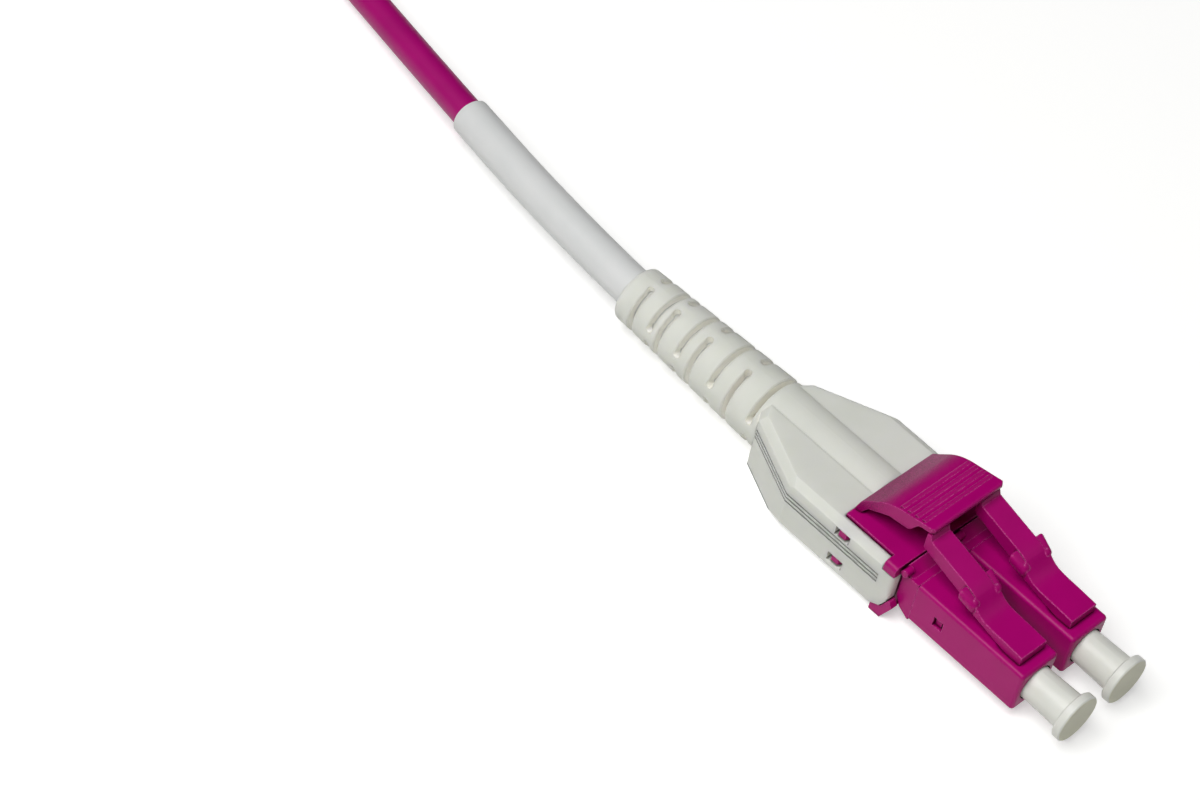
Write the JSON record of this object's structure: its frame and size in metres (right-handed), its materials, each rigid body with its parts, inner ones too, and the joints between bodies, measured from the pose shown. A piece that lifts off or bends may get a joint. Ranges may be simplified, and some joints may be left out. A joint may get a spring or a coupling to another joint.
{
  "type": "duplex lc fibre connector",
  "caption": "Twin fibre connector with push trigger, latches, dust caps, tapered boot housing and a jacketed cable wound into a tied hank.",
  "frame": {"origin": "middle of the connector on the surface that it lies on, half way from the dust caps' front to the boot's rear end", "axes": "-Y is the mating end, +Y the cable end, +Z the latch and trigger side, X across both plugs"},
  "size_m": [0.0281, 0.1648, 0.0131],
  "materials": {
    "boot_plastic": "moulded light grey, matt",
    "plug_plastic": "moulded heather violet, fine matt grain",
    "frame_plastic": "moulded heather violet, fine matt grain",
    "cap_plastic": "translucent soft white, satin",
    "ferrule_ceramic": "polished zirconia",
    "flange_metal": "nickel plated, turned",
    "spring_steel": "spring wire",
    "crimp_metal": "nickel plated, turned",
    "buffer_plastic": "buffered fibre",
    "cable_jacket": "soft cable jacket, satin",
    "sleeve_plastic": "white flexible sleeve",
    "tie_plastic": "hook and loop strap"
  },
  "bodies": {
    "housing": {"boot_housing": "boot_plastic", "frame_upper": "frame_plastic", "frame_lower": "frame_plastic", "crimp_post": "crimp_metal", "crimp_ring": "crimp_metal", "plug_housing_a": "plug_plastic", "plug_housing_b": "plug_plastic", "plug_rear_a": "plug_plastic", "plug_rear_b": "plug_plastic", "fibre_buffer_a": "buffer_plastic", "fibre_buffer_b": "buffer_plastic", "ferrule_spring_a": "spring_steel", "ferrule_spring_b": "spring_steel", "cable": "cable_jacket", "cable_sleeve": "sleeve_plastic", "cable_hank": "cable_jacket", "hank_tie_a": "tie_plastic", "hank_tie_b": "tie_plastic"},
    "trigger": {"trigger": "frame_plastic"},
    "latch_a": {"plug_latch_a": "plug_plastic"},
    "ferrule_a": {"ferrule_a": "ferrule_ceramic", "ferrule_flange_a": "flange_metal"},
    "cap_a": {"dust_cap_a": "cap_plastic"},
    "latch_b": {"plug_latch_b": "plug_plastic"},
    "ferrule_b": {"ferrule_b": "ferrule_ceramic", "ferrule_flange_b": "flange_metal"},
    "cap_b": {"dust_cap_b": "cap_plastic"}
  },
  "joints": [
    {"name": "trigger_press", "type": "hinge", "parent": "housing", "child": "trigger", "pos_m": [0, -0.00312, 0.0066], "axis": [1, 0, 0], "range_deg": [0, 9], "stiffness_Nm_per_rad": 0.02},
    {"name": "latch_a_flex", "type": "hinge", "parent": "housing", "child": "latch_a", "pos_m": [-0.00313, -0.02033, 0.00561], "axis": [-1, 0, 0], "range_deg": [0, 6], "stiffness_Nm_per_rad": 0.01},
    {"name": "ferrule_a_float", "type": "slide", "parent": "housing", "child": "ferrule_a", "axis": [0, 1, 0], "range_m": [0, 0.0006], "stiffness_N_per_m": 2500, "springref_m": -0.002, "deforming": ["ferrule_spring_a"]},
    {"name": "cap_a_pull", "type": "slide", "parent": "housing", "child": "cap_a", "axis": [0, -1, 0], "range_m": [0, 0.012]},
    {"name": "latch_b_flex", "type": "hinge", "parent": "housing", "child": "latch_b", "pos_m": [0.00313, -0.02033, 0.00561], "axis": [-1, 0, 0], "range_deg": [0, 6], "stiffness_Nm_per_rad": 0.01},
    {"name": "ferrule_b_float", "type": "slide", "parent": "housing", "child": "ferrule_b", "axis": [0, 1, 0], "range_m": [0, 0.0006], "stiffness_N_per_m": 2500, "springref_m": -0.002, "deforming": ["ferrule_spring_b"]},
    {"name": "cap_b_pull", "type": "slide", "parent": "housing", "child": "cap_b", "axis": [0, -1, 0], "range_m": [0, 0.012]}
  ],
  "couplings": [
    {"joint": "latch_a_flex", "follows": "trigger_press", "ratio": 0.66},
    {"joint": "latch_b_flex", "follows": "trigger_press", "ratio": 0.66}
  ]
}
